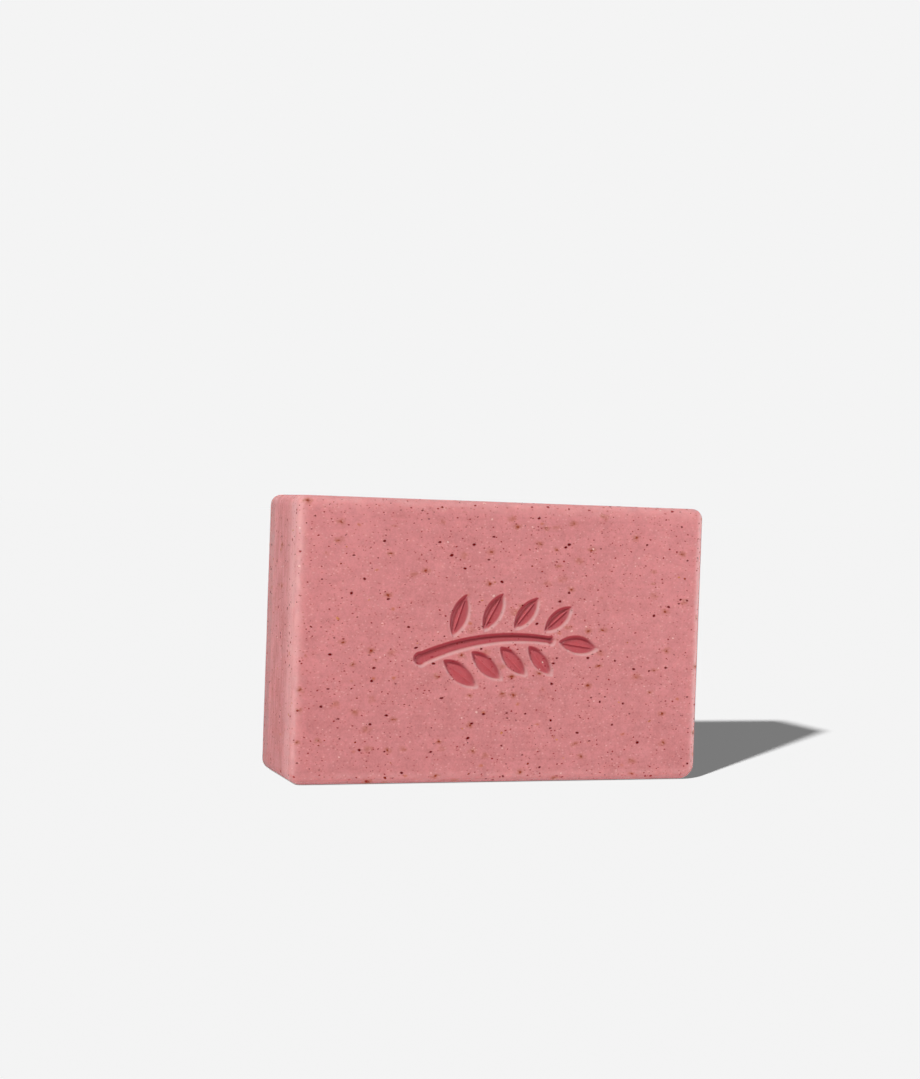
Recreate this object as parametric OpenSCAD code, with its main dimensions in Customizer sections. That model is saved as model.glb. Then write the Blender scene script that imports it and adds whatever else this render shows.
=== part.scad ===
// Bar of soap, standing on its long narrow side with its pressed face to the front.
// Origin: middle of the side it stands on. X runs along the bar, Y to its back, Z up.
// The bar is one pressed piece: a rounded block with a leaf sprig sunk into its front face.

/* [Bar] */
// Length of the bar along the table
bar_length = 80; // [60:1:110]
// Height of the bar as it stands
bar_height = 51.8; // [40:0.2:70]
// Thickness from the pressed face to the back
bar_thickness = 23; // [16:0.5:35]

/* [Rounding] */
// Radius of the round along every edge of the two broad faces
edge_r = 1.7; // [1:0.1:1.9]
// Radius of the two upper corners, seen from the front
top_corner_r = 2; // [2:0.1:8]
// Radius of the two lower corners, seen from the front
base_corner_r = 3.4; // [2:0.1:8]

/* [Pressing] */
// Depth of the pressed floor below the face
press_depth = 1.2; // [0.6:0.1:1.5]
// Draft of the pressed walls, in degrees from square
press_draft = 12; // [5:1:15]
// Width of the eased rim round each pressed shape
press_rim = 0.35; // [0.1:0.05:0.5]
// Width of the flat land left between the stem and each leaf, inside their rims
land_w = 0.4; // [0.2:0.1:1]

/* [Stem] */
// Tilt of the whole sprig, rising to the right
sprig_tilt = 8; // [-20:1:20]
// Length of the stem along its bend
stem_length = 26; // [24:1:32]
// Radius that the stem is bent to
stem_bend_r = 46; // [30:1:90]
// Width of the stem at its foot
stem_foot_w = 1.9; // [1.2:0.1:2.4]
// Width of the stem at its tip
stem_tip_w = 1; // [0.8:0.1:1.2]
// How far the round ends of the stem swell out past its sides
end_swell = 0.15; // [0.1:0.05:0.4]

/* [Leaves] */
// Leaves on each side of the stem
leaf_pairs = 4; // [2:1:5]
// Length of the lowest leaves
low_leaf_length = 8; // [5:0.2:9]
// Width of the lowest leaves
low_leaf_w = 3.1; // [2:0.1:3.6]
// Angle between the lowest leaves and the stem
low_leaf_angle = 58; // [50:1:70]
// Length of the highest leaves
high_leaf_length = 6.4; // [4:0.2:8]
// Width of the highest leaves
high_leaf_w = 2.6; // [1.6:0.1:3]
// Angle between the highest leaves and the stem
high_leaf_angle = 44; // [42:1:55]
// Length of the leaf at the end of the stem
end_leaf_length = 7.6; // [5:0.2:9]
// Width of the leaf at the end of the stem
end_leaf_w = 3; // [2:0.1:3.6]
// Width of the midrib at the floor of a leaf
midrib_w = 0.6; // [0.4:0.1:0.8]
// Height of the midrib above the floor of a leaf
midrib_h = 0.5; // [0.2:0.1:0.6]

/* [Hidden] */
$fn = 96;

soap_pink = [0.82, 0.53, 0.53];

// Half of the bar's thickness less the edge round: where the side faces stop being flat
flat_half = bar_thickness / 2 - edge_r;
// The straight rims reach this far in from the outline, to overlap the core
rim_reach = 2 * edge_r;

// How far the pressing shapes stand proud of the face, so that they cut it cleanly
proud = 0.15;
// Sideways run of a pressed wall for each millimetre of depth, and that of its eased rim
wall_slope = tan(press_draft);
rim_slope = 1;
// The rim's cone goes on down past the line where it meets the wall
rim_depth = 1.5 * press_rim;

// Half of the angle that the stem's bend spans
stem_half_angle = stem_length / 2 / stem_bend_r * 180 / PI;
stem_mean_w = (stem_foot_w + stem_tip_w) / 2;
// The stem's two edges are arcs whose middles lie this far apart, which narrows it towards its tip
taper_shift = (stem_foot_w - stem_tip_w) / 2 / sin(stem_half_angle);
stem_sag = stem_bend_r * (1 - cos(stem_half_angle));
// Space along the stem for one pair of leaves, and half of one more above the last
leaf_pitch = stem_length / (leaf_pairs + 0.5);

// Value between low and high at the share t
function between(low, high, t) = low + (high - low) * t;
// Places along the stem are measured along its bend, from its foot
function stem_angle(s) = (s - stem_length / 2) / stem_bend_r * 180 / PI;
function stem_point(s) = stem_bend_r * [sin(stem_angle(s)), cos(stem_angle(s)) - 1];
function stem_w(s) = between(stem_foot_w, stem_tip_w, s / stem_length);
// Radius of the two arcs that enclose a leaf
function leaf_arc_r(length, width) = (length * length + width * width) / (4 * width);
// Half of a leaf's length from point to point, measured outside its rim
function leaf_reach(length, width) =
    sqrt(pow(leaf_arc_r(length, width) + press_rim, 2) - pow(leaf_arc_r(length, width) - width / 2, 2));

// Section through the bar's rim: flat outside, with both corners rounded
module rim_section(reach) {
    translate([0, -bar_thickness / 2])
        square([reach - edge_r, bar_thickness]);
    translate([0, -flat_half])
        square([reach, 2 * flat_half]);
    for (side = [-1, 1])
        translate([reach - edge_r, side * flat_half])
            intersection() {
                circle(edge_r);
                translate([0, side < 0 ? -edge_r : 0])
                    square(edge_r);
            }
}

// A rounded corner of the bar: its rim section turned through a quarter circle
module corner(x, y, r, turn) {
    translate([x, y, 0])
        rotate([0, 0, turn])
            rotate_extrude(angle = 90)
                rim_section(r);
}

// A straight rim from one point to another, with the outside on its right
module straight_rim(from, to) {
    run = to - from;
    translate([from.x, from.y, 0])
        rotate([0, 0, atan2(run.y, run.x)])
            translate([0, rim_reach, 0])
                rotate([90, 0, 90])
                    linear_extrude(norm(run))
                        mirror([1, 0])
                            rim_section(rim_reach);
}

// The plain block, lying on its back with its outline in the XY plane
module blank() {
    right = bar_length / 2;
    top = bar_height / 2;
    // Ends of the straight sides, and the middles of the corner rounds
    top_x = right - top_corner_r;
    base_x = right - base_corner_r;
    top_y = top - top_corner_r;
    base_y = -top + base_corner_r;

    linear_extrude(bar_thickness, center = true)
        polygon([
            [-top_x, top - edge_r], [top_x, top - edge_r],
            [right - edge_r, top_y], [right - edge_r, base_y],
            [base_x, -top + edge_r], [-base_x, -top + edge_r],
            [-right + edge_r, base_y], [-right + edge_r, top_y],
        ]);

    straight_rim([-base_x, -top], [base_x, -top]);
    straight_rim([right, base_y], [right, top_y]);
    straight_rim([top_x, top], [-top_x, top]);
    straight_rim([-right, top_y], [-right, base_y]);

    corner(top_x, top_y, top_corner_r, 0);
    corner(-top_x, top_y, top_corner_r, 90);
    corner(-base_x, base_y, base_corner_r, 180);
    corner(base_x, base_y, base_corner_r, 270);
}

// A disc sunk to a depth, which spreads by slope for each millimetre up and has radius r at the face
module spread_disc(r, depth, slope) {
    translate([0, 0, -depth])
        cylinder(h = depth + proud, r1 = r - depth * slope, r2 = r + proud * slope);
}

// The pointed oval of one leaf, grown outwards by a rim
module leaf_oval(length, width, rim, depth, slope) {
    r = leaf_arc_r(length, width);
    intersection_for (side = [-1, 1])
        translate([0, side * (r - width / 2), 0])
            spread_disc(r + rim, depth, slope);
}

// The ridge that is left standing along the middle of a leaf's floor
module midrib(length) {
    rotate([90, 0, 90])
        linear_extrude(length, center = true)
            polygon([
                [0, midrib_h - press_depth],
                [-midrib_w, -midrib_h - press_depth],
                [midrib_w, -midrib_h - press_depth],
            ]);
}

// One leaf along X, whose lower point starts at the given distance from the origin
module leaf(start, length, width) {
    translate([start + leaf_reach(length, width), 0, 0]) {
        difference() {
            leaf_oval(length, width, 0, press_depth, wall_slope);
            midrib(length);
        }
        leaf_oval(length, width, press_rim, rim_depth, rim_slope);
    }
}

// The stem's tapering bend, as the band between two arcs within the angle that it spans
module stem_band(rim, depth, slope) {
    reach = stem_bend_r + stem_foot_w + proud;
    lower_r = stem_bend_r - stem_mean_w / 2 - rim;
    translate([0, -stem_bend_r, 0])
        intersection() {
            difference() {
                translate([-taper_shift / 2, 0, 0])
                    spread_disc(stem_bend_r + stem_mean_w / 2 + rim, depth, slope);
                translate([taper_shift / 2, 0, -depth - proud])
                    cylinder(
                        h = depth + 3 * proud,
                        r1 = lower_r + (depth + proud) * slope,
                        r2 = lower_r - 2 * proud * slope
                    );
            }
            translate([0, 0, -depth - proud])
                linear_extrude(depth + 3 * proud)
                    polygon([
                        [0, 0],
                        reach * [tan(stem_half_angle), 1],
                        reach * [-tan(stem_half_angle), 1],
                    ]);
        }
}

// The stem with its two round ends
module stem(rim, depth, slope) {
    stem_band(rim, depth, slope);
    for (s = [0, stem_length])
        translate(stem_point(s))
            spread_disc(stem_w(s) / 2 + end_swell + rim, depth, slope);
}

// The leaves, by turns on one side of the stem and the other, smaller towards its tip
module leaves() {
    for (i = [0 : leaf_pairs - 1], side = [-1, 1]) {
        s = (i + (side < 0 ? 0.5 : 1)) * leaf_pitch;
        t = s / stem_length;
        angle = between(low_leaf_angle, high_leaf_angle, t);
        translate(stem_point(s))
            rotate([0, 0, side * angle - stem_angle(s)])
                leaf(
                    (stem_w(s) / 2 + press_rim + land_w) / sin(angle),
                    between(low_leaf_length, high_leaf_length, t),
                    between(low_leaf_w, high_leaf_w, t)
                );
    }
    translate(stem_point(stem_length))
        rotate([0, 0, -stem_angle(stem_length)])
            leaf(stem_tip_w / 2 + end_swell + press_rim + land_w, end_leaf_length, end_leaf_w);
}

// The whole sprig, with the middle of its length at the origin and the face at z = 0
module sprig() {
    rotate([0, 0, sprig_tilt])
        translate([-end_leaf_length / 2, stem_sag / 2, 0]) {
            stem(0, press_depth, wall_slope);
            stem(press_rim, rim_depth, rim_slope);
            leaves();
        }
}

module soap_bar() {
    color(soap_pink)
        translate([0, 0, bar_height / 2])
            rotate([90, 0, 0])
                difference() {
                    blank();
                    translate([0, 0, bar_thickness / 2])
                        sprig();
                }
}

soap_bar();
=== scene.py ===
"""Looks of a bar of speckled pink soap that stands on its long narrow side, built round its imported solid."""

from __future__ import annotations

import logging
import math
import random
from dataclasses import dataclass, field
from enum import Enum
from functools import reduce
from typing import Callable, Iterator

import bmesh
import bpy
from mathutils import Matrix, Vector


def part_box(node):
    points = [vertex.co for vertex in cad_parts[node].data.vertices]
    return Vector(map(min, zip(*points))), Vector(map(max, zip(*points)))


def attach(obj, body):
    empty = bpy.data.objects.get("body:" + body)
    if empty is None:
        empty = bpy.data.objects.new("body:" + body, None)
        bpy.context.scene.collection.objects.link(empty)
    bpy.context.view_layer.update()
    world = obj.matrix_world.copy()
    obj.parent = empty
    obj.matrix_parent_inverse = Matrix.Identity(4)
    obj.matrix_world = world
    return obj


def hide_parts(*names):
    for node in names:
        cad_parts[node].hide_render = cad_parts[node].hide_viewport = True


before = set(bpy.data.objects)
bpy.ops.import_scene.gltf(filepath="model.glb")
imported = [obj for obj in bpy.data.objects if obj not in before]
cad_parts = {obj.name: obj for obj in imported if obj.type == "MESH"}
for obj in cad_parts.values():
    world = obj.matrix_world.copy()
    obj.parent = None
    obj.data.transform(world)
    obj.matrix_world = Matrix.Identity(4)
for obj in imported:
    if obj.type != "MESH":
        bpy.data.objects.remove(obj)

LOG = logging.getLogger("soap")
Pair = tuple[float, float]
Triple = tuple[float, float, float]
Quad = tuple[float, float, float, float]
Piece = bpy.types.Object
Material = bpy.types.Material
Tree = bpy.types.NodeTree
Socket = bpy.types.NodeSocket
Inputs = dict[str | int, object]

# Pieces are modelled in millimetres and brought to metres when they are finished
MM_TO_M = 0.001
BODY = "root"
NODE = "soap_bar"


def srgb(red: int, green: int, blue: int) -> Triple:
    """Turns a colour as seen on a screen into the linear values that shaders use.

    Args:
        red: Red, from 0 to 255.
        green: Green, from 0 to 255.
        blue: Blue, from 0 to 255.

    Returns:
        The three linear values, from 0 to 1.
    """
    def linear(level: int) -> float:
        """Linear value of one 8-bit level."""
        share = level / 255
        return share / 12.92 if share <= 0.04045 else ((share + 0.055) / 1.055) ** 2.4

    return linear(red), linear(green), linear(blue)


def pick_only(piece: Piece) -> None:
    """Deselects everything, then selects one piece and makes it the active one.

    Args:
        piece: The piece to select.
    """
    bpy.ops.object.select_all(action="DESELECT")
    piece.select_set(True)
    bpy.context.view_layer.objects.active = piece


def added(operator: Callable[..., object], **settings: object) -> Piece:
    """Deselects everything and adds a new object.

    Args:
        operator: The operator that adds it.
        **settings: Values for the operator's own properties.

    Returns:
        The new object, which is the active one.
    """
    bpy.ops.object.select_all(action="DESELECT")
    operator(**settings)
    return bpy.context.active_object


def apply_modifier(piece: Piece, kind: str, **settings: object) -> None:
    """Adds a modifier to a piece with the given settings and applies it.

    Args:
        piece: The piece to change.
        kind: Blender's name for the modifier type, such as "BOOLEAN".
        **settings: Values for the modifier's own properties.
    """
    modifier = piece.modifiers.new(kind.title(), kind)
    for name, value in settings.items():
        setattr(modifier, name, value)
    pick_only(piece)
    bpy.ops.object.modifier_apply(modifier=modifier.name)


def combine(piece: Piece, tool: Piece, operation: str) -> Piece:
    """Cuts, joins or intersects a piece with a tool, and throws the tool away.

    Args:
        piece: The piece that stays.
        tool: The piece that is used up.
        operation: "DIFFERENCE", "UNION" or "INTERSECT".

    Returns:
        The changed piece.
    """
    apply_modifier(piece, "BOOLEAN", operation=operation, object=tool, solver="MANIFOLD")
    bpy.data.objects.remove(tool, do_unlink=True)
    return piece


def settle(piece: Piece) -> Piece:
    """Puts a piece's place, turn and scale into its mesh.

    Args:
        piece: The piece to change.

    Returns:
        The same piece.
    """
    pick_only(piece)
    bpy.ops.object.transform_apply(location=True, rotation=True, scale=True)
    return piece


def joined(pieces: list[Piece], name: str) -> Piece:
    """Joins pieces into one.

    Args:
        pieces: The pieces, which are used up.
        name: The joined piece's name.

    Returns:
        The one piece that is left.
    """
    pick_only(pieces[0])
    for piece in pieces:
        piece.select_set(True)
    bpy.ops.object.join()
    pieces[0].name = name
    pieces[0].data.name = name
    return pieces[0]


def bevel_edges(piece: Piece, radius: float, steps: int, wanted: Callable[[Vector, Vector], bool]) -> None:
    """Rounds the edges of a piece whose two ends pass a test.

    Args:
        piece: The piece to change.
        radius: Radius of the round.
        steps: Number of flats that make up the round.
        wanted: Says of an edge's two ends whether it is to be rounded.
    """
    pick_only(piece)
    bpy.ops.object.mode_set(mode="EDIT")
    bpy.ops.mesh.select_mode(type="EDGE")
    bpy.ops.mesh.select_all(action="DESELECT")
    mesh = bmesh.from_edit_mesh(piece.data)
    for edge in mesh.edges:
        edge.select_set(wanted(edge.verts[0].co, edge.verts[1].co))
    bmesh.update_edit_mesh(piece.data)
    bpy.ops.mesh.bevel(offset=radius, segments=steps, profile=0.5, affect="EDGES")
    bpy.ops.object.mode_set(mode="OBJECT")


def dress(piece: Piece, finish: Material) -> None:
    """Gives a modelled piece its finish and brings it to metres, on its body.

    Args:
        piece: The piece, in millimetres.
        finish: Its material.
    """
    piece.data.materials.clear()
    piece.data.materials.append(finish)
    piece.scale = (MM_TO_M,) * 3
    settle(piece)
    bpy.ops.object.shade_smooth()
    # The piece throws its shadow on the white floor, but none of its colour
    piece.visible_diffuse = False
    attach(piece, BODY)


class Graph:
    """A shader node tree, with short ways to add and join its nodes. An input is a link or a plain value."""

    def __init__(self, tree: Tree) -> None:
        """Starts from a node tree."""
        self.tree = tree

    def add(self, kind: str, inputs: Inputs | None = None, **settings: object) -> bpy.types.Node:
        """Adds a node.

        Args:
            kind: The node's type, without its ShaderNode prefix.
            inputs: What feeds its inputs, by their name or number.
            **settings: Values for the node's own properties.

        Returns:
            The new node.
        """
        node = self.tree.nodes.new("ShaderNode" + kind)
        for name, value in settings.items():
            setattr(node, name, value)
        self.feed(node, inputs or {})
        return node

    def feed(self, node: bpy.types.Node, inputs: Inputs) -> None:
        """Links a node's inputs to others, or writes plain values to them.

        Args:
            node: The node.
            inputs: What feeds its inputs, by their name or number.
        """
        for name, value in inputs.items():
            if isinstance(value, Socket):
                self.tree.links.new(value, node.inputs[name])
            else:
                node.inputs[name].default_value = value

    def math(self, operation: str, *values: object) -> Socket:
        """Adds a Math node with the given inputs and returns what it puts out."""
        return self.add("Math", dict(enumerate(values)), operation=operation).outputs[0]

    def product(self, *values: object) -> Socket:
        """Multiplies values with one another."""
        return reduce(lambda total, value: self.math("MULTIPLY", total, value), values)

    def size_of(self, value: object) -> Socket:
        """Gives a value without its sign."""
        return self.math("ABSOLUTE", value)

    def vector(self, operation: str, *values: object) -> Socket:
        """Adds a Vector Math node with the given inputs and returns the vector that it puts out."""
        return self.add("VectorMath", dict(enumerate(values)), operation=operation).outputs[0]

    def scaled(self, vector: object, scale: object) -> Socket:
        """Multiplies a vector by a plain value."""
        return self.add("VectorMath", {0: vector, 3: scale}, operation="SCALE").outputs[0]

    def axes(self, vector: object) -> tuple[Socket, ...]:
        """Splits a vector into its three parts."""
        return tuple(self.add("SeparateXYZ", {0: vector}).outputs)

    def mix(self, share: object, first: object, second: object) -> Socket:
        """Adds a colour Mix node and returns the mixed colour."""
        return self.add("Mix", {0: share, 6: first, 7: second}, data_type="RGBA").outputs[2]

    def tinted(self, colour: object, tint: Triple, mask: object, share: float) -> Socket:
        """Turns a colour towards a tint by a share of a mask."""
        return self.mix(self.product(mask, share), colour, (*tint, 1))

    def ramp(self, value: object, low: object, high: object, to_low: float = 0.0,
             to_high: float = 1.0) -> Socket:
        """Maps a value smoothly, so that low and all below it gives to_low, and high and above to_high."""
        values = dict(enumerate((value, low, high, to_low, to_high)))
        return self.add("MapRange", values, interpolation_type="SMOOTHSTEP").outputs["Result"]

    def border(self, value: object, edge: object, inset: Pair, most: float = 1.0) -> Socket:
        """Gives a ramp that starts and ends at two distances in from an edge, the second nearer to it."""
        return self.ramp(value, *(self.math("SUBTRACT", edge, inwards) for inwards in inset), 0.0, most)

    def noise(self, place: object, scale: object, detail: object) -> bpy.types.Node:
        """Adds a Noise Texture node."""
        return self.add("TexNoise", {"Vector": place, "Scale": scale, "Detail": detail})

    def drawn_noise(self, place: object, scales: Triple, detail: float) -> Socket:
        """Gives noise that is finer along one axis than along another."""
        return self.noise(self.vector("MULTIPLY", place, scales), 1.0, detail).outputs[0]

    def relief(self, heights: object) -> Socket:
        """Turns heights in millimetres into the normal of a surface that has them."""
        return self.add("Bump", {"Height": heights, "Distance": MM_TO_M}).outputs["Normal"]


class GroupGraph(Graph):
    """The inside of a shader node group, with its named inputs and outputs."""

    def __init__(self, name: str, vectors: tuple[str, ...], values: tuple[str, ...],
                 results: tuple[str, ...]) -> None:
        """Starts a group.

        Args:
            name: The group's name.
            vectors: Names of the inputs that take a vector.
            values: Names of the inputs that take a plain value.
            results: Names of the outputs, which all give a plain value.
        """
        super().__init__(bpy.data.node_groups.new(name, "ShaderNodeTree"))
        for names, direction, kind in ((vectors, "INPUT", "Vector"), (values, "INPUT", "Float"),
                                       (results, "OUTPUT", "Float")):
            for socket in names:
                self.tree.interface.new_socket(name=socket, in_out=direction,
                                               socket_type="NodeSocket" + kind)
        self.given = self.tree.nodes.new("NodeGroupInput").outputs
        self.output = self.tree.nodes.new("NodeGroupOutput")

    def put(self, **results: Socket) -> Tree:
        """Feeds what the group puts out, by name, and gives the finished group."""
        self.feed(self.output, results)
        return self.tree


@dataclass(frozen=True)
class Specks:
    """Group of round to ragged grains in the soap, more crowded in places. Sizes in millimetres."""

    # The soap was pushed out along the bar, which drew its grains out that way
    drawn_out: Triple = (0.84, 1.0, 1.19)
    raggedness: Pair = (1.6, 1.0)
    crowd_scale: float = 0.3
    crowd: Quad = (0.35, 0.65, 0.45, 1.55)
    least_size: float = 0.3

    def build(self) -> Tree:
        """Makes the group.

        Returns:
            The group, which gives 1 inside a grain and less at its soft rim.
        """
        graph = GroupGraph("specks_in_soap", ("Place", "Shift"),
                           ("Spacing", "Radius", "Share", "Softness"), ("Mask",))
        given = graph.given
        place = graph.vector("MULTIPLY", given["Place"], self.drawn_out)
        place = graph.vector("ADD", place, given["Shift"])
        rag = graph.vector("SUBTRACT", graph.noise(place, *self.raggedness).outputs["Color"], (0.5,) * 3)
        place = graph.vector("ADD", place, graph.scaled(rag, given["Radius"]))
        cells = graph.add("TexVoronoi", {
            "Vector": graph.scaled(place, graph.math("DIVIDE", 1.0, given["Spacing"])), "Scale": 1.0})
        draws = graph.add("SeparateColor", {0: cells.outputs["Color"]}).outputs
        crowd = graph.noise(cells.outputs["Position"], self.crowd_scale, 0.0).outputs[0]
        crowded = graph.product(graph.ramp(crowd, *self.crowd), given["Share"])
        present = graph.math("LESS_THAN", draws[0], crowded)
        size = graph.math("MULTIPLY_ADD", graph.math("POWER", draws[1], 2.0),
                          1.0 - self.least_size, self.least_size)
        radius = graph.product(size, given["Radius"])
        core = graph.product(radius, graph.math("SUBTRACT", 1.0, given["Softness"]))
        away = graph.product(cells.outputs["Distance"], given["Spacing"])
        return graph.put(Mask=graph.product(graph.ramp(away, core, radius, 1.0, 0.0), present))


@dataclass(frozen=True)
class Clouds:
    """Group of soft paler and deeper clouds, with their size in millimetres."""

    roughness: float = 0.8

    def build(self) -> Tree:
        """Makes the group.

        Returns:
            The group, which gives a tone from 0 to 1.
        """
        graph = GroupGraph("clouds_in_soap", ("Place",), ("Size", "Detail", "Contrast"), ("Tone",))
        given = graph.given
        cloud = graph.noise(given["Place"], graph.math("DIVIDE", 1.0, given["Size"]), given["Detail"])
        graph.feed(cloud, {"Roughness": self.roughness})
        centred = graph.math("SUBTRACT", cloud.outputs[0], 0.5)
        return graph.put(Tone=graph.math("MULTIPLY_ADD", centred, given["Contrast"], 0.5))


@dataclass(frozen=True)
class PaintedSprigShading:
    """Group for painted shade in the sprig that is pressed into the front face, and for a painted highlight on
    its rims that face the light. Sizes in millimetres.
    """

    # How far the pressed shapes reach from their middle: along the bar, into it and upwards
    reach: Triple = (22.0, 2.0, 12.0)
    floor_depth: Pair = (0.2, 0.7)
    rim_depth: Pair = (0.3, 1.0)
    # The light comes from the upper left: walls turned away from it get painted shade, and rims turned to it a
    # painted highlight
    light: Triple = (-0.64, 0.0, 0.77)
    lit: Pair = (0.05, 0.6)
    shaded: Pair = (-0.45, -0.1)

    def build(self) -> Tree:
        """Makes the group.

        Returns:
            The group, which gives masks for painted shade over the sunk floors and shaded walls, for a painted
            highlight on the lit rims, and for painted shade on the shaded walls alone.
        """
        graph = GroupGraph("painted_sprig_shading", ("Place", "Normal", "Middle"), (), ("Mask", "Rim", "Shade"))
        given = graph.given
        away = graph.axes(graph.vector("SUBTRACT", given["Place"], given["Middle"]))
        inside = graph.product(*(graph.math("LESS_THAN", graph.size_of(part), most)
                                 for part, most in zip(away, self.reach)))
        facing = graph.add("VectorMath", {0: given["Normal"], 1: self.light},
                           operation="DOT_PRODUCT").outputs["Value"]
        # Painted shade on walls turned away from the light and over the sunk floors, painted highlight on
        # shallow rims turned to it
        shaded = graph.ramp(facing, *self.shaded, 1.0, 0.0)
        sunk = graph.ramp(away[1], *self.floor_depth)
        shallow = graph.ramp(away[1], *self.rim_depth, 1.0, 0.0)
        return graph.put(Mask=graph.product(inside, graph.math("MAXIMUM", sunk, shaded)),
                         Rim=graph.product(inside, graph.ramp(facing, *self.lit), shallow),
                         Shade=graph.product(inside, shaded))


@dataclass(frozen=True)
class PaintedEdgeHighlight:
    """Group for a paler painted highlight round the borders of both broad faces, broken up into patches. Sizes
    in millimetres.
    """

    end: Pair = (2.4, 0.7)
    end_fade: Quad = (0.0, 30.0, 0.6, 1.0)
    top: Pair = (3.2, 1.0)
    top_share: float = 0.6
    foot_start: Quad = (0.9, 1.5, 0.0, 0.4)
    foot_end: Pair = (1.7, 2.6)
    broad: Pair = (2.5, 9.6)
    highlight_breakup: Triple = (0.5, 1.2, 0.35)
    highlight_breakup_range: Quad = (0.3, 0.7, 0.55, 1.3)

    def build(self) -> Tree:
        """Makes the group.

        Returns:
            The group, which gives how strong the painted highlight is.
        """
        graph = GroupGraph("painted_edge_highlight", ("Place",), ("End", "Top"), ("Mask",))
        place = graph.given["Place"]
        x, y, z = graph.axes(place)
        end = graph.product(graph.border(graph.size_of(x), graph.given["End"], self.end),
                            graph.ramp(z, *self.end_fade))
        top = graph.border(z, graph.given["Top"], self.top, self.top_share)
        foot = graph.product(graph.ramp(z, *self.foot_start), graph.ramp(z, *self.foot_end, 1.0, 0.0))
        most = graph.math("MAXIMUM", graph.math("MAXIMUM", end, top), foot)
        # Noise breaks the painted highlight into patches
        broken_up = graph.ramp(graph.drawn_noise(place, self.highlight_breakup, 3.0), *self.highlight_breakup_range)
        return graph.put(Mask=graph.product(most, graph.ramp(graph.size_of(y), *self.broad), broken_up))


@dataclass(frozen=True)
class Streaks:
    """Group of faint streaks from pressing, which on the ends also lay painted shade. Sizes in millimetres."""

    along: Triple = (0.08, 1.0, 1.3)
    along_range: Pair = (0.3, 0.7)
    upright: Triple = (0.4, 0.9, 0.16)
    upright_range: Pair = (0.34, 0.66)
    end: Pair = (1.2, 0.0)
    middle: Pair = (4.0, 9.0)

    def build(self) -> Tree:
        """Makes the group.

        Returns:
            The group, which gives streaks along the bar and upright ones in the middle of its ends.
        """
        graph = GroupGraph("drag_streaks", ("Place",), ("End",), ("Face", "Side"))
        place = graph.given["Place"]
        x, y, _ = graph.axes(place)
        along = graph.ramp(graph.drawn_noise(place, self.along, 3.0), *self.along_range)
        upright = graph.ramp(graph.drawn_noise(place, self.upright, 4.0), *self.upright_range)
        on_end = graph.product(graph.border(graph.size_of(x), graph.given["End"], self.end),
                               graph.ramp(graph.size_of(y), *self.middle, 1.0, 0.0))
        return graph.put(Face=along, Side=graph.product(upright, on_end))


@dataclass(frozen=True)
class Skin:
    """Group for the fine relief of the pressed skin, and for narrow sides that bow. Sizes in millimetres."""

    fine: Pair = (5.0, 2.0)
    broad: Pair = (0.9, 1.0)
    broad_share: float = 2.5
    drag: Triple = (0.12, 1.0, 1.6)
    bow: Pair = (5.6, 11.5)

    def build(self) -> Tree:
        """Makes the group.

        Returns:
            The group, which gives heights in millimetres.
        """
        graph = GroupGraph("skin_relief", ("Place",), ("Grain", "Drag", "Bow"), ("Height",))
        given = graph.given
        fine, broad = (graph.noise(given["Place"], *sizes).outputs[0] for sizes in (self.fine, self.broad))
        grain = graph.product(graph.math("MULTIPLY_ADD", broad, self.broad_share, fine), given["Grain"])
        drawn = graph.drawn_noise(given["Place"], self.drag, 2.0)
        relief = graph.math("MULTIPLY_ADD", drawn, given["Drag"], grain)
        past = graph.ramp(graph.size_of(graph.axes(given["Place"])[1]), *self.bow)
        return graph.put(Height=graph.math("SUBTRACT", relief, graph.product(past, given["Bow"])))


class GroupKind(Enum):
    """The shader node groups that the finishes share."""

    SPECKS = Specks()
    CLOUDS = Clouds()
    PRESSED = PaintedSprigShading()
    RUBBED = PaintedEdgeHighlight()
    STREAKS = Streaks()
    SKIN = Skin()


Groups = dict[GroupKind, Tree]


@dataclass(frozen=True)
class Mottle:
    """One size of cloud in a tone, in millimetres, and how much of the tone it makes up."""

    size: float
    detail: float
    contrast: float
    share: float = 1.0


class MaterialGraph(Graph):
    """The nodes of one material, with the object's own coordinates, in millimetres, as its place."""

    def __init__(self, name: str, groups: Groups) -> None:
        """Starts a material.

        Args:
            name: The material's name.
            groups: The shared node groups.
        """
        self.material = bpy.data.materials.new(name)
        self.material.use_nodes = True
        super().__init__(self.material.node_tree)
        self.groups = groups
        self.place = self.scaled(self.add("TexCoord").outputs["Object"], 1 / MM_TO_M)

    def group(self, kind: GroupKind, **inputs: object) -> dict[str, Socket]:
        """Adds a shared group, which gets the material's place.

        Args:
            kind: Which group.
            **inputs: What feeds its other inputs, by name.

        Returns:
            What it puts out, by name.
        """
        node = self.add("Group", node_tree=self.groups[kind])
        self.feed(node, {"Place": self.place, **inputs})
        return dict(node.outputs.items())

    def tone(self, mottle: Mottle) -> Socket:
        """Adds clouds and gives their tone, from 0 to 1."""
        return self.group(GroupKind.CLOUDS, Size=mottle.size, Detail=mottle.detail,
                          Contrast=mottle.contrast)["Tone"]

    def finished(self, inputs: Inputs) -> Material:
        """Feeds the material's Principled shader, and gives the finished material."""
        self.feed(self.tree.nodes["Principled BSDF"], inputs)
        return self.material


@dataclass(frozen=True)
class SpeckLayer:
    """One kind of ground grain that shows in the soap as a stain of colour, with sizes in millimetres."""

    colour: Triple
    spacing: float
    radius: float
    share: float
    softness: float
    strength: float
    shift: Triple


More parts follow.
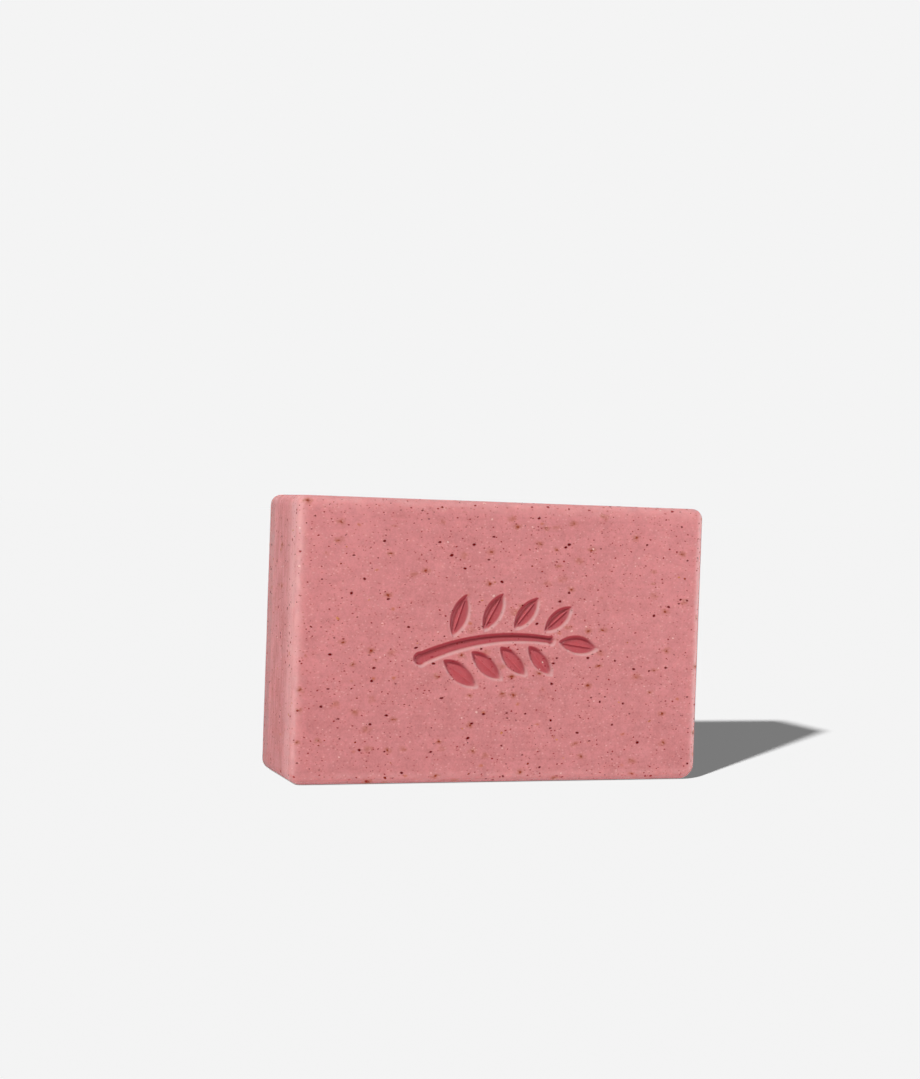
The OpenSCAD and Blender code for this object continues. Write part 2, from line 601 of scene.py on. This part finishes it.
@dataclass(frozen=True)
class SoapFinish:
    """The pink soap: a soft satin skin over translucent soap with grains through it. Sizes in millimetres."""

    end: float
    front: float
    top: float
    pale: Triple = srgb(226, 148, 149)
    deep: Triple = srgb(201, 126, 127)
    mottles: tuple[Mottle, ...] = (Mottle(10.0, 1.0, 1.6, 0.15), Mottle(3.0, 5.0, 5.6, 0.3),
                                   Mottle(0.4, 1.0, 4.0, 0.25))
    # Painted light: paler towards the top, and higher up paler towards both ends
    painted_top_light: float = 0.2
    painted_end_light: float = 0.24
    side: Pair = (0.3, 0.9)
    drag: float = 0.16
    # Real streaks on the ends, whose share also lays painted shade over the middle of both ends
    streak: Triple = srgb(184, 94, 90)
    streak_and_end_shade_amount: float = 0.38
    # Painted highlight along the borders of both broad faces
    edge_highlight: Triple = srgb(243, 184, 181)
    edge_highlight_amount: float = 0.4
    # Painted light in the sprig: painted shade in deep red over its sunk floors and shaded walls, darker
    # painted shade on the shaded walls, and a painted highlight on its lit rims
    pressed: Triple = srgb(204, 74, 84)
    painted_recess_shade_amount: float = 0.75
    shade: Triple = srgb(158, 48, 58)
    painted_wall_shade_amount: float = 0.7
    rim: Triple = srgb(238, 196, 192)
    painted_rim_highlight_amount: float = 0.4
    grain: float = 0.004
    drag_relief: float = 0.006
    bow: float = 1.5
    roughness: float = 0.36
    curd_roughness: float = 0.12
    coat: float = 0.15
    coat_roughness: float = 0.36
    glow: float = 0.5
    glow_depth: float = 2.2
    glow_colour: Triple = (1.0, 0.42, 0.38)
    layers: tuple[SpeckLayer, ...] = (
        SpeckLayer(srgb(180, 98, 66), 2.7, 1.3, 0.5, 1.0, 0.7, (3.1, 0.0, 7.7)),
        SpeckLayer(srgb(148, 52, 24), 2.7, 0.5, 0.5, 0.6, 0.9, (3.1, 0.0, 7.7)),
        SpeckLayer(srgb(240, 186, 178), 0.64, 0.28, 0.78, 0.7, 0.4, (11.3, 5.0, 1.9)),
        SpeckLayer(srgb(252, 216, 206), 2.2, 0.36, 0.3, 0.6, 0.6, (31.3, 15.0, 2.9)),
        SpeckLayer(srgb(202, 114, 78), 3.0, 0.62, 0.22, 0.7, 0.7, (0.7, 23.0, 4.3)),
        SpeckLayer(srgb(172, 56, 50), 0.66, 0.3, 0.5, 0.7, 0.5, (17.9, 2.0, 31.3)),
        SpeckLayer(srgb(150, 6, 8), 1.1, 0.42, 0.5, 0.55, 0.95, (7.9, 12.0, 3.3)),
        SpeckLayer(srgb(112, 0, 4), 1.5, 0.38, 0.5, 0.5, 1.0, (41.7, 13.0, 0.3)),
    )

    def tone(self, graph: MaterialGraph, mottles: list[Socket], drag: Socket) -> Socket:
        """Sums what makes the soap paler: painted light that brightens it towards the top and, higher up,
        towards both ends, the clouds and the streaks.

        Args:
            graph: The material's graph.
            mottles: The tones of the clouds.
            drag: The streaks along the bar.

        Returns:
            The soap's tone, from about 0 to 1.
        """
        x, _, z = graph.axes(graph.place)
        # Painted light, paler towards the top and towards both ends
        tone = graph.product(z, self.painted_top_light / self.top)
        side = graph.ramp(graph.size_of(x), *(self.end * share for share in self.side))
        parts = [(side, graph.product(z, self.painted_end_light / self.top))]
        parts += [(part, mottle.share) for part, mottle in zip(mottles, self.mottles)]
        for part, share in (*parts, (drag, self.drag)):
            tone = graph.math("MULTIPLY_ADD", part, share, tone)
        return tone

    def colour(self, graph: MaterialGraph, mottles: list[Socket]) -> Socket:
        """Lays the soap's colours over one another.

        Args:
            graph: The material's graph.
            mottles: The tones of the clouds.

        Returns:
            The colour of the soap with its streaks and grains, and the painted light over it: highlights along
            the edges and on the sprig's lit rims, and shade in the sprig.
        """
        streaks = graph.group(GroupKind.STREAKS, End=self.end)
        edge_highlight = graph.group(GroupKind.RUBBED, End=self.end, Top=self.top)
        tone = self.tone(graph, mottles, streaks["Face"])
        colour = graph.mix(tone, (*self.deep, 1), (*self.pale, 1))
        colour = graph.tinted(colour, self.streak, streaks["Side"], self.streak_and_end_shade_amount)
        # Painted highlight along the edges
        colour = graph.tinted(colour, self.edge_highlight, edge_highlight["Mask"], self.edge_highlight_amount)
        for layer in self.layers:
            specks = graph.group(GroupKind.SPECKS, Shift=layer.shift, Spacing=layer.spacing,
                                 Radius=layer.radius, Share=layer.share, Softness=layer.softness)
            colour = graph.tinted(colour, layer.colour, specks["Mask"], layer.strength)
        # Painted shade in the pressed sprig, and a painted highlight on its lit rims
        sunk = graph.group(GroupKind.PRESSED, Middle=(0.0, self.front, self.top / 2),
                           Normal=graph.add("TexCoord").outputs["Normal"])
        colour = graph.tinted(colour, self.pressed, sunk["Mask"], self.painted_recess_shade_amount)
        colour = graph.tinted(colour, self.shade, sunk["Shade"], self.painted_wall_shade_amount)
        return graph.tinted(colour, self.rim, sunk["Rim"], self.painted_rim_highlight_amount)

    def build(self, groups: Groups) -> Material:
        """Makes the material.

        Args:
            groups: The shared node groups.

        Returns:
            The soap's material.
        """
        graph = MaterialGraph("pink_soap", groups)
        mottles = [graph.tone(mottle) for mottle in self.mottles]
        skin = graph.group(GroupKind.SKIN, Grain=self.grain, Drag=self.drag_relief, Bow=self.bow)
        # All of the shine comes from the thin coat, so that the ends don't haze over at a low angle
        return graph.finished({
            "Base Color": self.colour(graph, mottles),
            "Normal": graph.relief(skin["Height"]),
            "Roughness": graph.math("MULTIPLY_ADD", mottles[1], self.curd_roughness, self.roughness),
            "Specular IOR Level": 0.0,
            "Coat Weight": self.coat,
            "Coat Roughness": self.coat_roughness,
            "Subsurface Weight": self.glow,
            "Subsurface Radius": self.glow_colour,
            "Subsurface Scale": self.glow_depth * MM_TO_M,
        })


@dataclass(frozen=True)
class GrainFinish:
    """A hard ground grain: two colours that change from grain to grain, and a slight gloss."""

    name: str
    light: Triple
    dark: Triple
    roughness: float
    mottle: Mottle = Mottle(1.1, 1.0, 3.0)
    grain: float = 0.01
    gloss: float = 0.04

    def build(self, groups: Groups) -> Material:
        """Makes the material.

        Args:
            groups: The shared node groups.

        Returns:
            The grains' material.
        """
        graph = MaterialGraph(self.name, groups)
        skin = graph.group(GroupKind.SKIN, Grain=self.grain, Drag=0.0, Bow=0.0)
        return graph.finished({
            "Base Color": graph.mix(graph.tone(self.mottle), (*self.dark, 1), (*self.light, 1)),
            "Normal": graph.relief(skin["Height"]),
            "Roughness": self.roughness,
            "Specular IOR Level": self.gloss,
        })


@dataclass(frozen=True)
class Cut:
    """A wall of the press: how far outside the drawn line it stands, how deep it goes and its slope."""

    outset: float
    depth: float
    slope: float


@dataclass
class SprigPress:
    """The press that sinks the leaf sprig into the bar, modelled with the face at z = 0, in millimetres."""

    depth: float = 1.2
    draft: float = math.radians(12)
    rim: float = 0.35
    rim_slope: float = 1.0
    rim_overlap: float = 1.5
    land: float = 0.4
    proud: float = 0.15
    tilt: float = math.radians(8)
    stem_length: float = 26.0
    stem_bend_r: float = 46.0
    stem_foot_w: float = 1.9
    stem_tip_w: float = 1.0
    end_swell: float = 0.15
    leaf_pairs: int = 4
    low_leaf: Pair = (8.0, 3.1)
    high_leaf: Pair = (6.4, 2.6)
    end_leaf: Pair = (7.6, 3.0)
    low_angle: float = math.radians(58)
    high_angle: float = math.radians(44)
    midrib_w: float = 0.6
    midrib_h: float = 0.5
    disc_sides: int = 192
    stem_sides: int = 720

    @property
    def wall(self) -> Cut:
        """The drafted wall of every pressed shape."""
        return Cut(0.0, self.depth, math.tan(self.draft))

    @property
    def eased(self) -> Cut:
        """The eased rim, which goes on down past the line where it meets the wall."""
        return Cut(self.rim, self.rim_overlap * self.rim, self.rim_slope)

    def stem_angle(self, run: float) -> float:
        """Turn of the stem at a distance from its foot, measured from its highest point."""
        return (run - self.stem_length / 2) / self.stem_bend_r

    def stem_point(self, run: float) -> Pair:
        """Point of the stem's middle line at a distance from its foot."""
        angle = self.stem_angle(run)
        return self.stem_bend_r * math.sin(angle), self.stem_bend_r * (math.cos(angle) - 1)

    def stem_width(self, run: float) -> float:
        """Width of the stem at a distance from its foot."""
        return self.stem_foot_w + (self.stem_tip_w - self.stem_foot_w) * run / self.stem_length

    @staticmethod
    def leaf_arc(size: Pair) -> Pair:
        """Radius of the two arcs round a leaf, and how far their middles lie from the leaf's own."""
        arc_r = (size[0] ** 2 + size[1] ** 2) / (4 * size[1])
        return arc_r, arc_r - size[1] / 2

    def leaf_reach(self, size: Pair) -> float:
        """Half of a leaf's length, measured outside its rim."""
        arc_r, away = self.leaf_arc(size)
        return math.sqrt((arc_r + self.rim) ** 2 - away ** 2)

    def disc(self, centre: Pair, radius: float, cut: Cut, sides: int) -> Piece:
        """Adds a sunk disc that widens upwards.

        Args:
            centre: Middle of the disc.
            radius: Radius of its drawn line, at the face.
            cut: The wall round it.
            sides: Number of flats round it.

        Returns:
            The disc.
        """
        radius += cut.outset
        return settle(added(
            bpy.ops.mesh.primitive_cone_add, vertices=sides, radius1=radius - cut.depth * cut.slope,
            radius2=radius + self.proud * cut.slope, depth=cut.depth + self.proud,
            location=(*centre, (self.proud - cut.depth) / 2)))

    def leaf_oval(self, size: Pair, cut: Cut) -> Piece:
        """Makes the pointed oval of a leaf where two discs overlap.

        Args:
            size: Length and width of the leaf.
            cut: The wall round it.

        Returns:
            The oval, along X.
        """
        arc_r, away = self.leaf_arc(size)
        halves = [self.disc((0, side * away), arc_r, cut, self.disc_sides) for side in (-1, 1)]
        return combine(*halves, "INTERSECT")

    def leaf(self, size: Pair) -> Piece:
        """Makes the press of one leaf along X, with its middle at the origin.

        Args:
            size: Length and width of the leaf.

        Returns:
            The press of the leaf, with its eased rim and the slot that leaves the midrib.
        """
        leaf = self.leaf_oval(size, self.wall)
        slot = settle(added(bpy.ops.mesh.primitive_cylinder_add, vertices=3, radius=1.0, depth=size[0],
                            rotation=(math.pi / 2, 0, math.pi / 2)))
        heights = [corner.co.z for corner in slot.data.vertices]
        half = max(corner.co.y for corner in slot.data.vertices)
        slot.scale = (1.0, self.midrib_w / half, 2 * self.midrib_h / (max(heights) - min(heights)))
        slot.location.z = self.midrib_h - self.depth - max(heights) * slot.scale.z
        combine(leaf, settle(slot), "DIFFERENCE")
        return combine(leaf, self.leaf_oval(size, self.eased), "UNION")

    def stem(self, cut: Cut) -> Piece:
        """Makes the stem's tapering band with its two round ends.

        Args:
            cut: The wall round it.

        Returns:
            The stem.
        """
        mean_w = (self.stem_foot_w + self.stem_tip_w) / 2
        half_angle = self.stem_length / 2 / self.stem_bend_r
        # The band lies between two arcs whose middles are shifted, which narrows it towards its tip
        shift = (self.stem_foot_w - self.stem_tip_w) / 4 / math.sin(half_angle)
        band = self.disc((-shift, -self.stem_bend_r), self.stem_bend_r + mean_w / 2, cut, self.stem_sides)
        inner_r = self.stem_bend_r - mean_w / 2 - cut.outset
        over = 3 * self.proud
        core = added(
            bpy.ops.mesh.primitive_cone_add, vertices=self.stem_sides,
            radius1=inner_r + (cut.depth + over) * cut.slope, radius2=inner_r - over * cut.slope,
            depth=cut.depth + 2 * over, location=(shift, -self.stem_bend_r, -cut.depth / 2))
        combine(band, settle(core), "DIFFERENCE")

        # Two blocks cut the band off square to its bend, at its foot and at its tip
        block = 4 * self.stem_bend_r
        for side in (-1, 1):
            away = Vector((math.cos(half_angle) * side, -math.sin(half_angle))) * block / 2
            cutter = added(bpy.ops.mesh.primitive_cube_add, size=block)
            cutter.rotation_euler.z = -side * half_angle
            cutter.location = (away.x, away.y - self.stem_bend_r, 0)
            combine(band, settle(cutter), "DIFFERENCE")
        for run in (0.0, self.stem_length):
            end = self.disc(self.stem_point(run), self.stem_width(run) / 2 + self.end_swell, cut,
                            self.disc_sides)
            combine(band, end, "UNION")
        return band

    def leaf_places(self) -> Iterator[tuple[float, float, Pair]]:
        """Goes up the stem, with a leaf on one side of it and then on the other.

        Yields:
            A leaf's distance along the stem, its turn from the stem and its size.
        """
        pitch = self.stem_length / (self.leaf_pairs + 0.5)
        for pair in range(self.leaf_pairs):
            for side in (-1, 1):
                run = (pair + (0.5 if side < 0 else 1.0)) * pitch
                share = run / self.stem_length
                angle = self.low_angle + (self.high_angle - self.low_angle) * share
                length, width = (low + (high - low) * share
                                 for low, high in zip(self.low_leaf, self.high_leaf))
                yield run, side * angle, (length, width)

    def placed_leaf(self, run: float, turn: float, size: Pair, clear: float) -> Piece:
        """Makes a leaf and sets it beside the stem.

        Args:
            run: Distance along the stem from its foot.
            turn: Turn of the leaf from the stem.
            size: Length and width of the leaf.
            clear: Distance from the stem's middle line to the leaf's lower point, along the leaf.

        Returns:
            The leaf's press, in place.
        """
        leaf = self.leaf(size)
        angle = turn - self.stem_angle(run)
        x, y = self.stem_point(run)
        reach = clear + self.leaf_reach(size)
        leaf.rotation_euler.z = angle
        leaf.location = (x + reach * math.cos(angle), y + reach * math.sin(angle), 0)
        return settle(leaf)

    def build(self) -> Piece:
        """Makes the whole press.

        Returns:
            The press, with the middle of the sprig at the origin and the face at z = 0.
        """
        parts = [combine(self.stem(self.wall), self.stem(self.eased), "UNION")]
        for run, turn, size in self.leaf_places():
            clear = (self.stem_width(run) / 2 + self.rim + self.land) / math.sin(abs(turn))
            parts.append(self.placed_leaf(run, turn, size, clear))
        clear = self.stem_tip_w / 2 + self.end_swell + self.rim + self.land
        parts.append(self.placed_leaf(self.stem_length, 0.0, self.end_leaf, clear))
        press = joined(parts, "sprig_press")
        sag = self.stem_bend_r * (1 - math.cos(self.stem_length / 2 / self.stem_bend_r))
        press.location = (-self.end_leaf[0] / 2, sag / 2, 0)
        settle(press)
        press.rotation_euler.z = self.tilt
        return settle(press)


@dataclass
class SoapBar:
    """The bar itself: a rounded block with the sprig pressed into its front. Sizes in millimetres."""

    low: Vector
    high: Vector
    press: SprigPress = field(default_factory=SprigPress)
    edge_r: float = 1.9
    top_corner_r: float = 2.0
    base_corner_r: float = 3.0
    left_base_corner_r: float = 2.2
    round_steps: int = 12
    tolerance: float = 0.001
    voxel: float = 0.18
    quick_voxel: float = 0.35
    melt: float = 0.5
    melt_passes: int = 3
    sway: float = 0.05
    sway_size: float = 14.0
    dimple: float = 0.02
    dimple_size: float = 2.2
    most_triangles: int = 180_000

    def blank(self) -> Piece:
        """Makes the plain block: a cube with its four corners rounded and then both broad faces' edges.

        Returns:
            The block, in place.
        """
        centre = (self.low + self.high) / 2
        block = settle(added(bpy.ops.mesh.primitive_cube_add, size=1, location=centre,
                             scale=self.high - self.low))

        def across(a: Vector, b: Vector) -> bool:
            """True for an edge that runs from the front face to the back."""
            return abs(a.x - b.x) < self.tolerance and abs(a.z - b.z) < self.tolerance

        def at_foot(a: Vector, b: Vector) -> bool:
            """True for an edge from front to back that the bar stands on."""
            return across(a, b) and a.z < self.low.z + self.tolerance

        for radius, wanted in (
                (self.top_corner_r, lambda a, b: across(a, b) and a.z > centre.z),
                (self.base_corner_r, lambda a, b: at_foot(a, b) and a.x > 0),
                (self.left_base_corner_r, lambda a, b: at_foot(a, b) and a.x < self.low.x + self.tolerance),
                (self.edge_r, lambda a, b: abs(a.y - b.y) < self.tolerance)):
            bevel_edges(block, radius, self.round_steps, wanted)
        return block

    def soften(self, bar: Piece) -> None:
        """Turns the sharp block into soap: one even skin, melted edges, and a gentle sway and dimples.

        Args:
            bar: The block with the sprig cut into it.
        """
        apply_modifier(bar, "REMESH", mode="VOXEL", voxel_size=self.voxel)
        apply_modifier(bar, "SMOOTH", factor=self.melt, iterations=self.melt_passes)
        for name, strength, size in (("sway", self.sway, self.sway_size),
                                     ("dimples", self.dimple, self.dimple_size)):
            texture = bpy.data.textures.new(name, "CLOUDS")
            texture.noise_scale = size
            texture.noise_depth = 1
            # A middle level of 1 only ever sinks the skin, so the bar stays inside its own size
            apply_modifier(bar, "DISPLACE", texture=texture, strength=strength, mid_level=1.0)
            bpy.data.textures.remove(texture)
        triangles = sum(len(face.vertices) - 2 for face in bar.data.polygons)
        if triangles > self.most_triangles:
            apply_modifier(bar, "DECIMATE", ratio=self.most_triangles / triangles)

    def build(self, finish: Material) -> Piece:
        """Makes and dresses the bar.

        Args:
            finish: The soap's material.

        Returns:
            The finished bar, in metres.
        """
        bar = self.blank()
        press = self.press.build()
        press.rotation_euler.x = math.pi / 2
        press.location = (0, self.low.y, (self.low.z + self.high.z) / 2)
        combine(bar, settle(press), "DIFFERENCE")
        self.soften(bar)
        bar.name = "pressed_bar"
        bar.data.name = "pressed_bar"
        dress(bar, finish)
        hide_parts(NODE)
        return bar


@dataclass(frozen=True)
class GrainKind:
    """A kind of modelled grain: how many, half of the least and greatest length, and how flat it is."""

    name: str
    finish: GrainFinish
    count: int
    small: float
    large: float
    flatness: float
    seed: int


class Grain(Enum):
    """The kinds of ground grain that break the surface of the soap."""

    DARK = GrainKind("dark_grains", GrainFinish("dark_seed", srgb(136, 10, 14), srgb(88, 2, 6), 0.7),
                     260, 0.12, 0.26, 0.3, 11)
    RUST = GrainKind("rust_grains", GrainFinish("rust_husk", srgb(172, 66, 40), srgb(128, 32, 20), 0.7),
                     150, 0.15, 0.42, 0.3, 23)
    AMBER = GrainKind("amber_flakes", GrainFinish("amber_bran", srgb(222, 148, 104), srgb(176, 88, 58), 0.6),
                      48, 0.25, 0.7, 0.25, 37)
    PALE = GrainKind("pale_grains", GrainFinish("pale_meal", srgb(246, 210, 202), srgb(230, 176, 168), 0.6),
                     120, 0.14, 0.36, 0.3, 53)


@dataclass
class Grains:
    """The grains that break the bar's surface, most of each sunk into the soap. Sizes in millimetres."""

    bar: Piece
    low: Vector
    high: Vector
    proud: float = 0.4
    shapes: int = 4
    raggedness: float = 0.22
    # Few grains are nearly as large as their kind gets
    rarity: float = 2.2
    slimness: Pair = (0.4, 0.9)
    # The soap was pushed out along the bar, so its grains lie nearly that way
    most_spin: float = 0.6

    def masters(self, kind: GrainKind) -> list[Piece]:
        """Models a few ragged grains of unit size to copy from.

        Args:
            kind: The kind of grain.

        Returns:
            The grains.
        """
        made = []
        for number in range(self.shapes):
            made.append(added(bpy.ops.mesh.primitive_uv_sphere_add, segments=8, ring_count=5, radius=1.0))
            bpy.ops.object.mode_set(mode="EDIT")
            bpy.ops.mesh.select_all(action="SELECT")
            bpy.ops.transform.vertex_random(offset=self.raggedness, seed=kind.seed + number, normal=0.4)
            bpy.ops.object.mode_set(mode="OBJECT")
        return made

    def spots(self, draw: random.Random, count: int) -> Iterator[tuple[Vector, Vector]]:
        """Gives places strewn evenly over the bar, with the direction out of the soap at each.

        Args:
            draw: The source of random numbers.
            count: How many places to give.

        Yields:
            A point on the bar's skin, in millimetres, and its normal.
        """
        size = self.high - self.low
        centre = (self.low + self.high) / 2
        areas = [size.y * size.z, size.x * size.z, size.x * size.y]
        given = 0
        while given < count:
            axis = draw.choices(range(3), areas)[0]
            side = draw.choice((-1, 1))
            start = Vector(draw.uniform(self.low[i], self.high[i]) for i in range(3))
            start[axis] = centre[axis] + side * size[axis]
            inwards = Vector((0, 0, 0))
            inwards[axis] = -side
            hit, point, normal, _ = self.bar.ray_cast(start * MM_TO_M, inwards)
            if hit:
                given += 1
                yield point / MM_TO_M, normal

    def inside(self, point: Vector) -> Vector:
        """Moves a point that lies outside the bar's own size back to its border."""
        return Vector(min(max(at, least), most) for at, least, most in zip(point, self.low, self.high))

    def build(self, kind: GrainKind, finish: Material) -> Piece:
        """Strews one kind of grain over the bar.

        Args:
            kind: The kind of grain.
            finish: Its material.

        Returns:
            All the grains of the kind as one piece, in metres.
        """
        draw = random.Random(kind.seed)
        masters = self.masters(kind)
        grains = []
        for point, normal in self.spots(draw, kind.count):
            grain = draw.choice(masters).copy()
            grain.data = grain.data.copy()
            bpy.context.collection.objects.link(grain)
            # These are half sizes, as a master has a radius of 1
            length = kind.small + (kind.large - kind.small) * draw.random() ** self.rarity
            width = length * draw.uniform(*self.slimness)
            thickness = width * kind.flatness
            turn = normal.to_track_quat("Z", "Y").to_matrix().to_4x4()
            spin = Matrix.Rotation(draw.uniform(-self.most_spin, self.most_spin), 4, "Z")
            top = point + normal * thickness * self.proud
            sunk = self.inside(top) - normal * thickness
            grain.matrix_world = Matrix.Translation(sunk) @ turn @ spin @ Matrix.Diagonal(
                (length, width, thickness, 1.0))
            grains.append(grain)
        for master in masters:
            bpy.data.objects.remove(master, do_unlink=True)
        strewn = settle(joined(grains, kind.name))
        for vertex in strewn.data.vertices:
            vertex.co = self.inside(vertex.co)
        dress(strewn, finish)
        return strewn


class Reach(Enum):
    """What a lamp lights: the soap's matt body, its shine, or both."""

    MATT = "matt"
    SHINE = "shine"
    BOTH = "both"


@dataclass(frozen=True)
class Lamp:
    """A distant lamp: where it stands, in degrees from the front to the left and above the floor."""

    name: str
    azimuth: float
    height: float
    strength: float
    spread: float
    reach: Reach = Reach.BOTH

    def hang(self) -> Piece:
        """Hangs the lamp and turns it to the bar.

        Returns:
            The lamp.
        """
        sun = added(bpy.ops.object.light_add, type="SUN")
        sun.name = self.name
        sun.data.energy = self.strength
        sun.data.angle = math.radians(self.spread)
        sun.visible_diffuse = self.reach is not Reach.SHINE
        sun.visible_glossy = self.reach is not Reach.MATT
        azimuth, height = math.radians(self.azimuth), math.radians(self.height)
        away = Vector((-math.sin(azimuth) * math.cos(height), -math.cos(azimuth) * math.cos(height),
                       math.sin(height)))
        sun.rotation_euler = away.to_track_quat("Z", "Y").to_euler()
        sun.location = away
        return sun


@dataclass
class Studio:
    """The pale floor, the studio light and the camera, as fitted to the photo. Sizes in metres."""

    background: float = srgb(244, 244, 244)[0]
    floor_side: float = 60.0
    floor_bounce: float = 0.8
    floor_shown: float = 2.62
    ambient: float = 0.0745
    key: Lamp = Lamp("key_lamp", 45.0, 27.0, 1.87, 2.4)
    cards: tuple[Lamp, ...] = (
        Lamp("front_card", -40.0, 0.0, 0.93, 40.0, Reach.MATT),
        Lamp("right_card", -80.0, 5.0, 0.4, 40.0, Reach.MATT),
        Lamp("left_card", 100.0, 5.0, 0.77, 26.0, Reach.MATT),
        Lamp("top_card", -20.0, 80.0, 0.78, 40.0, Reach.MATT),
        Lamp("floor_glow", -30.0, -60.0, 1.1, 40.0, Reach.MATT),
        Lamp("back_card", 200.0, 20.0, 1.8, 30.0, Reach.MATT),
        Lamp("edge_glint", 80.0, 5.0, 10.5, 60.0, Reach.SHINE),
        Lamp("top_glint", 10.0, 80.0, 4.0, 60.0, Reach.SHINE),
        Lamp("right_glint", -75.0, 5.0, 12.0, 60.0, Reach.SHINE),
    )
    camera_place: Triple = (-0.1210, -0.3278, 0.0495)
    camera_turn: float = math.radians(19.40)
    camera_pitch: float = math.radians(0.83)
    camera_roll: float = math.radians(1.99)
    camera_range: Pair = (0.01, 200.0)
    focal_pixels: float = 1841.0
    image_height: float = 1079.0
    sensor: float = 36.0

    @staticmethod
    def seen_or_lit(graph: Graph, seen: float, lit: float) -> Socket:
        """Gives one grey where the camera or a reflection sees a surface, and another where it lights others.

        Args:
            graph: The material's graph.
            seen: The grey that is seen.
            lit: The grey that lights others.

        Returns:
            The colour.
        """
        path = graph.add("LightPath").outputs
        directly = graph.math("MAXIMUM", path["Is Camera Ray"], path["Is Glossy Ray"])
        return graph.mix(directly, (lit, lit, lit, 1), (seen, seen, seen, 1))

    def floor(self) -> None:
        """Lays the floor. The camera and mirror-like reflections see it as the pale background."""
        plane = added(bpy.ops.mesh.primitive_plane_add, size=self.floor_side)
        plane.name = "studio_floor"
        material = bpy.data.materials.new("studio_floor")
        material.use_nodes = True
        graph = Graph(material.node_tree)
        graph.tree.nodes.remove(graph.tree.nodes["Principled BSDF"])
        colour = self.seen_or_lit(graph, self.floor_shown, self.floor_bounce)
        matt = graph.add("BsdfDiffuse", {"Color": colour})
        graph.feed(graph.tree.nodes["Material Output"], {"Surface": matt.outputs[0]})
        plane.data.materials.append(material)
        # The glow that the white floor throws up at the bar comes from a lamp below it
        plane.visible_shadow = False

    def sky(self) -> None:
        """Fills the room with even light, and shows the camera the pale background."""
        world = bpy.data.worlds.new("studio")
        bpy.context.scene.world = world
        world.use_nodes = True
        graph = Graph(world.node_tree)
        graph.feed(graph.tree.nodes["Background"], {
            "Color": self.seen_or_lit(graph, self.background, self.ambient), "Strength": 1.0})

    def aim_cards(self, pieces: list[Piece]) -> None:
        """Hangs the reflector cards, which light the bar alone and leave the floor's shadow as it is.

        Args:
            pieces: The pieces of the bar.
        """
        pieces_lit = bpy.data.collections.new("lit_by_cards")
        for piece in pieces:
            pieces_lit.objects.link(piece)
        for card in self.cards:
            card.hang().light_linking.receiver_collection = pieces_lit

    def camera(self) -> None:
        """Sets up the camera with the place, turn and lens that were fitted to the photo."""
        ahead = Vector((math.sin(self.camera_turn) * math.cos(self.camera_pitch),
                        math.cos(self.camera_turn) * math.cos(self.camera_pitch),
                        -math.sin(self.camera_pitch)))
        level = Vector((math.cos(self.camera_turn), -math.sin(self.camera_turn), 0))
        right = math.cos(self.camera_roll) * level + math.sin(self.camera_roll) * level.cross(ahead)
        up = right.cross(ahead)
        camera = added(bpy.ops.object.camera_add)
        camera.name = "photo_camera"
        camera.matrix_world = Matrix.Translation(self.camera_place) @ Matrix(
            (right, up, -ahead)).transposed().to_4x4()
        camera.data.sensor_width = self.sensor
        camera.data.lens = self.focal_pixels * self.sensor / self.image_height
        camera.data.clip_start, camera.data.clip_end = self.camera_range
        bpy.context.scene.camera = camera

    def build(self) -> None:
        """Builds the floor, the sky, the key lamp and the camera."""
        self.floor()
        self.sky()
        self.key.hang()
        self.camera()
        bpy.context.scene.view_settings.view_transform = "Standard"


def main() -> None:
    """Builds the studio, the bar and its grains, and logs how many faces each piece has."""
    logging.basicConfig(level=logging.INFO, format="%(name)s: %(message)s")
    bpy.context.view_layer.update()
    low, high = (corner / MM_TO_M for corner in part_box(NODE))

    studio = Studio()
    studio.build()
    LOG.info("studio ready")

    groups = {kind: kind.value.build() for kind in GroupKind}
    bar = SoapBar(low, high).build(SoapFinish(high.x, low.y, high.z).build(groups))
    LOG.info("%s: %d faces", bar.name, len(bar.data.polygons))

    bpy.context.view_layer.update()
    grains = Grains(bar, low, high)
    dressed = [bar]
    for grain in Grain:
        dressed.append(grains.build(grain.value, grain.value.finish.build(groups)))
        LOG.info("%s: %d faces", dressed[-1].name, len(dressed[-1].data.polygons))
    studio.aim_cards(dressed)


if __name__ == "__main__":
    main()
